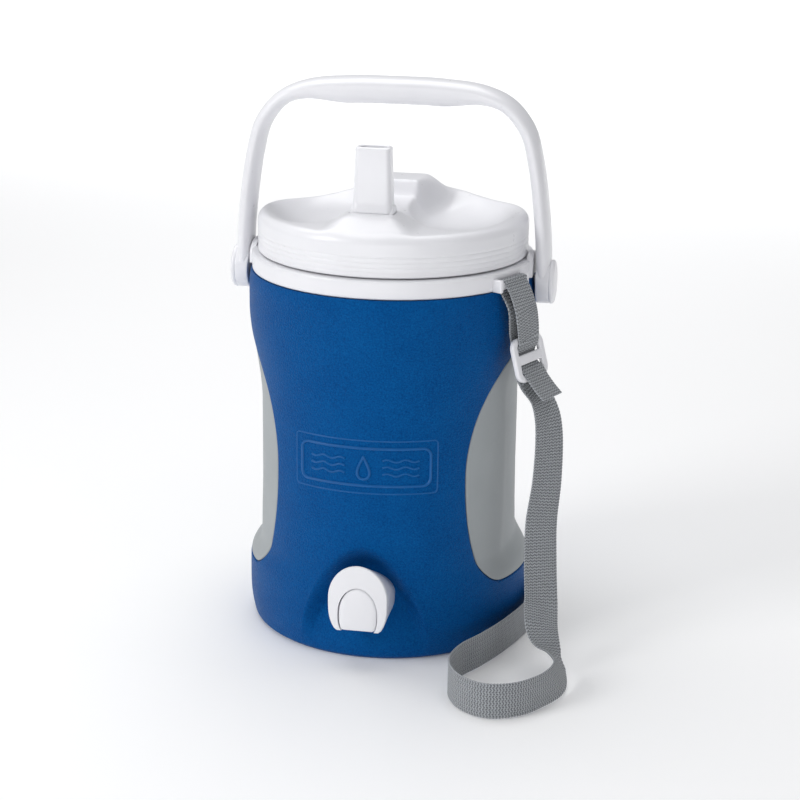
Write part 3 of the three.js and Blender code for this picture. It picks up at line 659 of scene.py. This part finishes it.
def on_side(part, side):
    """A part turned about Z so that its axis lies along X at the bail's pivot, on one side."""
    points, faces = part
    points = np.stack([points[:, 2], points[:, 1], -points[:, 0] + BAIL_Z], axis=1)
    if side < 0:
        points = points * np.array([-1, -1, 1])
    return points, faces


def bail():
    """The bow and its two hubs."""
    hub = rounded([(PIN_HOLE, HUB_IN), (HUB_R, HUB_IN), (HUB_R, HUB_OUT), (PIN_HOLE, HUB_OUT)], 0.9)
    part = joined(bail_bar(), on_side(turned(hub, 90), 1), on_side(turned(hub, 90), -1))
    return new_object("bail", *part, WHITE, "bail", "white_plastic", ["bail_handle"], sharp=45)


def hub_cover(side, name, node):
    """The domed cover of a bail hub."""
    disc = rounded([(0.01, HUB_OUT - 0.5), (HUB_R + 0.1, HUB_OUT - 0.5), (HUB_R + 0.1, HUB_OUT + 2.0),
                    (HUB_R - 1.6, HUB_OUT + 3.1), (0.01, HUB_OUT + 3.7)], 1.2)
    part = on_side(turned(disc, 90), side)
    return new_object(name, *part, WHITE, "bail", "white_plastic", [node], sharp=50)


# ---- lid ---------------------------------------------------------------------------------------------------
def ridge_height(y):
    """Height of the ridge above the rim along its length: spout seat, saddle and rear hump."""
    front = 8.5 * smooth(-86, -66, y) * (1 - smooth(-46, -34, y))
    saddle = 2.6 * smooth(-86, -66, y) * (1 - smooth(60, 86, y))
    hump = 9.6 * smooth(30, 38, y) * (1 - smooth(62, 87, y))
    return np.maximum(front, saddle) + hump


def lid_top(x, y):
    """The lid's upper surface: a ridge between two scoops, rounded down to the wall."""
    across = np.abs(x - RIDGE_X)
    hump = 1 - smooth(12, 31 + 3 * smooth(30, 60, y), across)
    plateau = LID_RIM + ridge_height(y) * hump
    lean = 2.0 * smooth(0, 48, y)
    side = (across - BOWL_X + lean) / (BOWL_A + lean)
    bowl = np.maximum(np.hypot(side, (y - BOWL_Y) / BOWL_B), 0.05)
    steep = 2.7 + 5.5 * smooth(0.1, -0.8, side)
    wall = bowl ** steep / (1 + bowl ** (steep * 5)) ** 0.2
    top = BOWL_Z + (plateau - BOWL_Z) * wall
    to_edge = np.clip((np.hypot(x, y) - (LID_R - LID_FILLET)) / LID_FILLET, 0, 1)
    return top - LID_FILLET * (1 - np.sqrt(1 - to_edge ** 2))


def lid_groove(z):
    """How deep the four fine grooves round the foot of the lid's wall are at a height."""
    return sum(0.28 * np.exp(-((z - LID_LOW - 3.2 * k) / 0.55) ** 2) for k in (1, 2, 3, 4))


def cut_with(piece, part, name):
    """Cuts a closed part out of a piece."""
    mesh = bpy.data.meshes.new(name)
    mesh.from_pydata((part[0] * MM).tolist(), [], part[1])
    tool = bpy.data.objects.new(name, mesh)
    bpy.context.scene.collection.objects.link(tool)
    change = piece.modifiers.new(name, "BOOLEAN")
    change.operation, change.object, change.solver = "DIFFERENCE", tool, "EXACT"
    bpy.context.view_layer.update()
    made = bpy.data.meshes.new_from_object(piece.evaluated_get(bpy.context.evaluated_depsgraph_get()))
    piece.modifiers.remove(change)
    piece.data = made
    bpy.data.objects.remove(tool)


def rod(axis, radius, start, end, at, segments=48):
    """A closed round bar along axis "x" or "z", through a point."""
    a = np.linspace(0, 2 * math.pi, segments, endpoint=False)
    rows = []
    for s in (start, end):
        circle = np.stack([radius * np.cos(a), radius * np.sin(a), np.full_like(a, s)], axis=1)
        rows.append(circle[:, [2, 0, 1]] if axis == "x" else circle)
    points, faces = rings(rows)
    return points + np.array(at, dtype=float), faces


def lid():
    """The lid's cover, open under its top, with the spout's seat and duct cut into it."""
    angles = np.linspace(0, 2 * math.pi, 300, endpoint=False)
    radii = LID_R - LID_R * (1 - np.cos(np.linspace(0, math.pi / 2, 110)))
    level = lambda r, z: np.stack([r * np.sin(angles), -r * np.cos(angles), z + 0 * angles], axis=1)
    top = lambda r: level(r, lid_top(r * np.sin(angles), -r * np.cos(angles)))
    inside = LID_R - 2.6
    wall_z = np.linspace(LID_LOW + 0.8, LID_RIM - LID_FILLET - 1, 60)
    below = [(0.2, LID_UNDER), (inside, LID_UNDER), (inside, LID_LOW), (LID_R - 0.9, LID_LOW)]
    rows = [level(r, z) for r, z in below]
    rows += [level(LID_R - float(lid_groove(z)), z) for z in wall_z]
    rows += [top(r) for r in radii[:-1]]
    points, faces = rings(rows)
    piece = new_object("lid", points, faces, WHITE, "lid_cover", "white_plastic", ["lid_shell"])
    hinge = (RIDGE_X, SPOUT_Y, SPOUT_Z)
    cut_with(piece, rod("x", DRUM_R + 0.5, -DRUM_HALF - 0.6, DRUM_HALF + 0.6, hinge), "seat_cut")
    cut_with(piece, rod("z", 5.0, 240 - SPOUT_Z, 4, hinge), "duct_cut")
    pocket = soft_block((2 * DRUM_HALF + 0.6, 28.0, 30.0), 2.5, 5)
    pocket = moved(pocket, np.eye(3), (RIDGE_X, SPOUT_Y + 14, SPOUT_Z + 8.5))
    cut_with(piece, pocket, "pocket_cut")
    return dress(piece, WHITE, "lid_cover", "white_plastic", sharp=32)


def flip_spout():
    """The mouthpiece on its drum: a flared foot, a tapering tube and a thin lip round the mouth."""
    half_w, half_d, low, top = SPOUT_W / 2 - 0.7, SPOUT_D / 2, SPOUT_Z + 4, SPOUT_TOP
    foot = [(2.1, 1.5, low, 4.0), (2.0, 1.5, low + 3.0, 4.0), (1.5, 0.9, low + 4.4, 3.8),
            (1.3, 0.6, low + 7, 3.6)]
    tip = [(0.35, 0.1, top - 10, 3.2), (0.1, 0, top - 2.6, 3.0), (0.25, 0.15, top - 1.8, 3.0),
           (-0.05, -0.1, top - 0.7, 3.0), (-0.8, -0.8, top - 0.1, 3.6)]
    mouth = [(-1.3, -1.2, top, 4.4), (-2.1, -1.9, top - 0.5, 4.5), (-2.4, -2.2, top - 2.0, 4.25),
             (-2.9, -2.6, low - 3, 3.8)]
    sections = [rounded_ring(half_w + dw, half_d + dd, z, corner) for dw, dd, z, corner in foot + tip + mouth]
    tube = rings(sections, False, True)
    drum = rounded([(0.01, -DRUM_HALF), (DRUM_R, -DRUM_HALF), (DRUM_R, DRUM_HALF), (0.01, DRUM_HALF)], 1.3)
    points, faces = turned(drum, 64)
    drum = (np.stack([points[:, 2], points[:, 1], SPOUT_Z - points[:, 0]], axis=1), faces)
    points, faces = joined(tube, drum)
    points = points + np.array([RIDGE_X, SPOUT_Y, 0])
    return new_object("spout_tube", points, faces, WHITE, "flip_spout", "white_plastic", ["spout"])


# ---- spigot ------------------------------------------------------------------------------------------------
def arch_ring(half, top, middle, bottom, foot, y, steps=48):
    """An arch in the X-Z plane: half an ellipse over sides that draw in to a flat foot."""
    turn = np.linspace(0, math.pi, steps)
    over = [(-half * math.cos(t), middle + (top - middle) * math.sin(t)) for t in turn]
    down = np.linspace(0, 1, 16)[1:-1]
    right = [(half - (half - foot) * t ** 3.4, middle - (middle - bottom) * t) for t in down]
    right += [(foot - 0.3, bottom + 0.35), (foot - 0.9, bottom)]
    left = [(-x, z) for x, z in reversed(right)]
    return [(x, y, z) for x, z in [*over, *right, *left]]


def tap_body():
    """The spigot's hooded body, narrowing back to its seat, with a hollow for the button."""
    shape = lambda grow, back: arch_ring(TAP_HALF + grow, TAP_TOP + grow, TAP_MIDDLE, TAP_LOW - grow,
                                         TAP_FOOT + grow * 0.6, TAP_FACE + back)
    rows = [shape(-1.0, 0), shape(-0.5, 0.1), shape(-0.15, 0.45), shape(0, 1.1)]
    rear = arch_ring(TAP_SEAT - 1, TAP_Z + 13, TAP_Z, TAP_Z - TAP_SEAT + 1, 9.5, TAP_BACK + 4)
    last = rows[-1]
    for t in (0.3, 0.6, 1.0):
        rows.append([tuple((1 - t) * np.array(p) + t * np.array(q)) for p, q in zip(last, rear)])
    points, faces = rings(rows)
    piece = new_object("tap_body", points, [tuple(reversed(f)) for f in faces], WHITE, "jug", "white_plastic",
                       ["spigot_housing"])
    piece.data.flip_normals()
    hollow = rings([arch_ring(BUTTON_HALF + BUTTON_GAP, BUTTON_TOP + 0.6, BUTTON_MIDDLE, 20, 2.8, y)
                    for y in (TAP_FACE - 2, TAP_FACE + 15)])
    cut_with(piece, hollow, "button_cut")
    for z in (TAP_Z + 9.5, TAP_Z + 0.5):
        cut_with(piece, rod("x", 0.7, 12, 30, (0, TAP_FACE + 5.5, z), 20), "mark_cut")
    return dress(piece, WHITE, "jug", "white_plastic", sharp=32)


def tap_button():
    """The spigot's button, slightly crowned and rounded at its edge."""
    shape = lambda grow, y: arch_ring(BUTTON_HALF + grow, BUTTON_TOP + grow, BUTTON_MIDDLE,
                                      BUTTON_LOW - grow * 0.6, BUTTON_FOOT + grow * 0.8, y)
    crown = [(-9, 0), (-5, 0.15), (-2.0, 0.4), (-0.9, 0.65), (-0.3, 1.15), (0, 1.85)]
    rows = [shape(grow, BUTTON_FACE + back) for grow, back in crown]
    points, faces = rings([*rows, shape(0, BUTTON_BACK)])
    return new_object("tap_button", points, faces, WHITE, "push_button", "white_plastic", ["spigot_button"])


# ---- strap -------------------------------------------------------------------------------------------------
def unit(v):
    """A direction of length one."""
    v = np.array(v, dtype=float)
    return v / np.linalg.norm(v)


def flat(angle, r, z):
    """A place of the webbing lying flat against the body at an angle in degrees."""
    a = math.radians(angle)
    return around(angle, r, z), np.array([math.cos(a), math.sin(a), 0.0])


def on_edge(x, y):
    """A place of the webbing standing on its edge on the table."""
    return np.array([x, y, STRAP_W / 2 + 0.5]), np.array([0.0, 0.0, -1.0])


def over_lug(angle, bow):
    """Outside a lug's bar, bowed outwards below it, up over it and down behind it."""
    off = 0.4 + STRAP_T / 2
    near, out, top, corner = LUG_IN - off, LUG_OUT + off, LUG_Z + LUG_BAR, 0.7 * off
    outside = [(out + bow, 226), (out + 0.4 * bow, LUG_Z - 4), (out, LUG_Z + 1)]
    over = [(LUG_OUT + corner, top + corner), ((near + out) / 2, top + off), (LUG_IN - corner, top + corner)]
    inside = [(near, LUG_Z + 1), (near + 0.1, LUG_Z - 3), (near + 1.5 + 0.65 * bow, 227)]
    return [flat(angle, r, z) for r, z in outside + over + inside]


def buckle_frame():
    """The buckle's directions across, up and outwards, and its middle."""
    a, lean = math.radians(BUCKLE_AT), math.radians(BUCKLE_TILT)
    across = np.array([math.cos(a), math.sin(a), 0])
    up = np.array([-math.sin(lean) * math.sin(a), math.sin(lean) * math.cos(a), math.cos(lean)])
    return across, up, np.cross(across, up), around(BUCKLE_AT, BUCKLE_R, BUCKLE_Z)


def by_buckle(height, off):
    """A place of the webbing at a height above the buckle's middle and off its plane."""
    across, up, out, at = buckle_frame()
    return at + up * height + out * off, across


def strap_stops():
    """The webbing's places from its tail to the back lug, each with its direction across there."""
    front, behind = BUCKLE_T / 2 + 1.0, -(BUCKLE_T / 2 + 1.2)
    level = (0.423, 0.906, 0)
    tail = [((112, -52.3, 171.8), level), ((106.4, -49.7, 177.2), level), by_buckle(-12.1, front)]
    weave = [(-9.6, 2.0), (-6.7, 0), (-3.8, -2.2), (0, -2.9), (3.8, -2.2), (6.7, 0), (9.6, 2.0),
             (12.1, front)]
    run = [by_buckle(16, behind), by_buckle(0, behind - 1.9), by_buckle(-15, behind - 1.0)]
    hang = [((104.5, -45.5, 168), (0.5, 0.866, 0)), ((108.6, -47, 158), (0.6, 0.8, 0)),
            ((110.5, -49, 145), (0.67, 0.742, 0)), ((110.5, -53, 116), (0.74, 0.673, 0)),
            ((108.4, -58, 90), (0.814, 0.58, 0)), ((109.2, -63, 65), (0.853, 0.523, -0.03)),
            ((111.2, -70, 42), (0.86, 0.51, -0.06)), ((113.6, -84, 29), (0.86, 0.46, -0.2)),
            ((119.1, -94, 20), (0.78, 0.3, -0.55)), ((124.8, -102, 16), (0.6, 0.2, -0.77)),
            ((128.9, -118, 13), (0.3, 0.1, -0.95))]
    table = [(121, -138), (106, -155), (88, -160), (71, -150), (62, -130), (65, -108), (76, -87),
             (87, -62), (97, -30), (102, 0), (98, 35), (80, 68), (50, 92), (12, 104)]
    rise = [((-22, 105, 22), (-0.4, -0.1, -0.9)), ((-48, 94, 52), (-0.75, -0.5, -0.4)),
            flat(217, 101, 95), flat(224, 98.5, 150), flat(228, 97.4, 195)]
    return [*tail, *[by_buckle(*place) for place in weave], *over_lug(LUG_FRONT, 8), *run, *hang,
            *[on_edge(*place) for place in table], *rise, *over_lug(LUG_BACK, 0), flat(228, 94.4, 205)]


def strap():
    """The webbing along its places, with a ribbed section and soft edges, and its length."""
    stops = strap_stops()
    _, _, length = spline([p for p, _ in stops], 10)
    count = int(length / (RIB / 5))
    centre, knots, length = spline([p for p, _ in stops], count)
    across = np.array([unit(w) for _, w in stops])
    wide = np.stack([np.interp(knots, np.arange(len(stops)), across[:, i]) for i in range(3)], axis=1)
    along = tangents(centre)
    wide -= along * (wide * along).sum(axis=1)[:, None]
    wide /= np.linalg.norm(wide, axis=1)[:, None]
    face = np.cross(along, wide)
    run = np.linspace(0, length, count)
    rib = np.sin(2 * math.pi * run / RIB)
    half_w = STRAP_W / 2 - 0.12 + 0.12 * rib
    half_t = STRAP_T / 2 - 0.05 + 0.05 * rib
    u = np.array([-1, -0.985, -0.95, -0.8, -0.4, 0, 0.4, 0.8, 0.95, 0.985, 1])
    edge = np.array([0.25, 0.7, 1, 0.94, 1, 0.94, 1, 0.94, 1, 0.7, 0.25])
    section = [(s, e) for s, e in zip(u, edge)] + [(s, -e) for s, e in zip(u[::-1], edge[::-1])]
    at = lambda s, e: centre + wide * (half_w * s)[:, None] + face * (half_t * e)[:, None]
    points, faces = rings(np.stack([at(s, e) for s, e in section], axis=1))
    piece = new_object("strap", points, faces, WEBBING, "jug", "webbing", ["shoulder_strap"], sharp=70)
    weave_uv(piece.data, centre, wide, run, len(section))
    return piece, length


def weave_uv(mesh, centre, wide, run, per_row):
    """UVs in millimetres: across the webbing, and along it."""
    layer = mesh.uv_layers.new(name="weave")
    points = np.empty(len(mesh.vertices) * 3)
    mesh.vertices.foreach_get("co", points)
    points = points.reshape(-1, 3) / MM
    row = np.minimum(np.arange(len(points)) // per_row, len(run) - 1)
    across = ((points - centre[row]) * wide[row]).sum(axis=1) + STRAP_W / 2
    uv = np.stack([across, run[row]], axis=1)
    loops = np.empty(len(mesh.loops), dtype=int)
    mesh.loops.foreach_get("vertex_index", loops)
    layer.data.foreach_set("uv", uv[loops].ravel())


def buckle():
    """A tri-glide: a rounded flat frame and a wide centre bar."""
    across, up, out, at = buckle_frame()
    side, end, corner = 2.55, 1.9, 5.0
    path = np.array(rounded_ring(BUCKLE_W / 2 - side, BUCKLE_H / 2 - end, 0, corner, 14))[:, :2]
    ahead = np.roll(path, -1, axis=0) - np.roll(path, 1, axis=0)
    ahead /= np.linalg.norm(ahead, axis=1)[:, None]
    outward = np.stack([ahead[:, 1], -ahead[:, 0]], axis=1)
    t = np.linspace(0, 2 * math.pi, 20, endpoint=False)
    wide = np.sign(np.cos(t)) * np.abs(np.cos(t)) ** 0.6
    tall = np.sign(np.sin(t)) * np.abs(np.sin(t)) ** 0.6 * BUCKLE_T / 2
    rows = []
    for p, n in zip(path, outward):
        reach = math.hypot(n[0] * side, n[1] * end)
        rows.append([(p[0] + n[0] * reach * w, p[1] + n[1] * reach * w, h) for w, h in zip(wide, tall)])
    rows.append(rows[0])
    bar = soft_block((BUCKLE_W - 2 * side - 2, 6.2, BUCKLE_T * 0.7), 0.9)
    points, faces = moved(joined(rings(rows, False, False), bar), (across, up, out), at)
    return new_object("triglide", points, faces, WHITE, "jug", "white_plastic", ["strap_buckle"], sharp=45)


# ---- camera, light and floor -------------------------------------------------------------------------------
def camera():
    """The camera in front, a little to the right and above, turned slightly."""
    data = bpy.data.cameras.new("camera")
    data.lens, data.sensor_width = 88.2, 36.0
    data.shift_x, data.shift_y = 0.0106, -0.0064
    eye = bpy.data.objects.new("camera", data)
    azimuth, elevation, roll = math.radians(10.5), math.radians(16.88), math.radians(0.70)
    distance, target = 1.3, Vector((0, 0, 0.150))
    level = math.cos(elevation)
    away = Vector((math.sin(azimuth) * level, -math.cos(azimuth) * level, math.sin(elevation)))
    eye.location = target + away * distance
    turn = away.to_track_quat("Z", "Y").to_matrix().to_4x4()
    eye.matrix_world = Matrix.Translation(eye.location) @ turn @ Matrix.Rotation(roll, 4, "Z")
    bpy.context.scene.collection.objects.link(eye)
    bpy.context.scene.camera = eye


def area_light(name, at, aim, size, power, spread=180):
    """A soft rectangular light, in metres, aimed at a point."""
    data = bpy.data.lights.new(name, "AREA")
    data.shape = "RECTANGLE"
    data.size, data.size_y = size
    data.energy, data.spread = power, math.radians(spread)
    lamp = bpy.data.objects.new(name, data)
    lamp.location = at
    lamp.rotation_euler = (Vector(at) - Vector(aim)).to_track_quat("Z", "Y").to_euler()
    bpy.context.scene.collection.objects.link(lamp)


def studio():
    """A pale, faintly lit floor, an even surround and soft lights."""
    n = Nodes("pale_floor")
    colour = n.mix(n.noise(3.0, 2.0), (0.94, 0.94, 0.94), (0.96, 0.96, 0.96))
    n.set(Base_Color=colour, Roughness=0.6, Emission_Strength=0.06)
    corners = [(-6, -6, 0), (6, -6, 0), (6, 6, 0), (-6, 6, 0)]
    mesh = bpy.data.meshes.new("floor")
    mesh.from_pydata(corners, [], [(0, 1, 2, 3)])
    mesh.materials.append(n.material)
    floor = bpy.data.objects.new("floor", mesh)
    bpy.context.scene.collection.objects.link(floor)
    world = bpy.data.worlds.new("studio")
    world.use_nodes = True
    surround = world.node_tree.nodes["Background"]
    surround.inputs["Color"].default_value = (0.96, 0.97, 1.0, 1)
    surround.inputs["Strength"].default_value = 0.36
    bpy.context.scene.world = world
    middle = (0, 0, 0.17)
    area_light("key", (-1.15, -0.95, 0.95), middle, (0.6, 0.8), 10.4)
    area_light("fill", (1.2, -0.9, 0.6), middle, (0.9, 0.9), 2.2)
    area_light("top", (-0.2, 0.35, 1.5), middle, (1.3, 1.3), 13)
    area_light("front", (0.1, -1.5, 0.16), (0, 0, 0.05), (1.4, 0.26), 3.4)
    area_light("backdrop", (0, 3.3, 2.0), (0, 3.3, 0), (6.0, 3.6), 70, spread=90)
    bpy.context.scene.view_settings.view_transform = "Standard"


def dress_cad_nodes():
    """Materials and smooth shading for the CAD nodes that stay in view."""
    finish = {
        FOAM: ["foam_insulation", "lid_foam"],
        LINER_WHITE: ["inner_liner", "lid_plug", "spigot_nut", "valve_stem"],
        RUBBER: ["foam_fill_plug", "lid_gasket", "spout_seal", "valve_seal", "spigot_gasket"],
        STEEL: ["pivot_pin_right", "pivot_pin_left", "spout_pin", "return_spring"],
    }
    for material, names in finish.items():
        for name in names:
            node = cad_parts[name]
            node.data.materials.clear()
            node.data.materials.append(material)
            node.data.shade_smooth()
            node.data.set_sharp_from_angle(angle=math.radians(35))


# ---- build -------------------------------------------------------------------------------------------------
camera()
studio()
dress_cad_nodes()
jug_shell()
grip(1, "grip_pad_right", "grip_panel_right")
grip(-1, "grip_pad_left", "grip_panel_left")
badge()
collar()
bail()
hub_cover(1, "hub_cover_right", "hub_cap_right")
hub_cover(-1, "hub_cover_left", "hub_cap_left")
lid()
flip_spout()
tap_body()
tap_button()
webbing, webbing_length = strap()
glide = buckle()
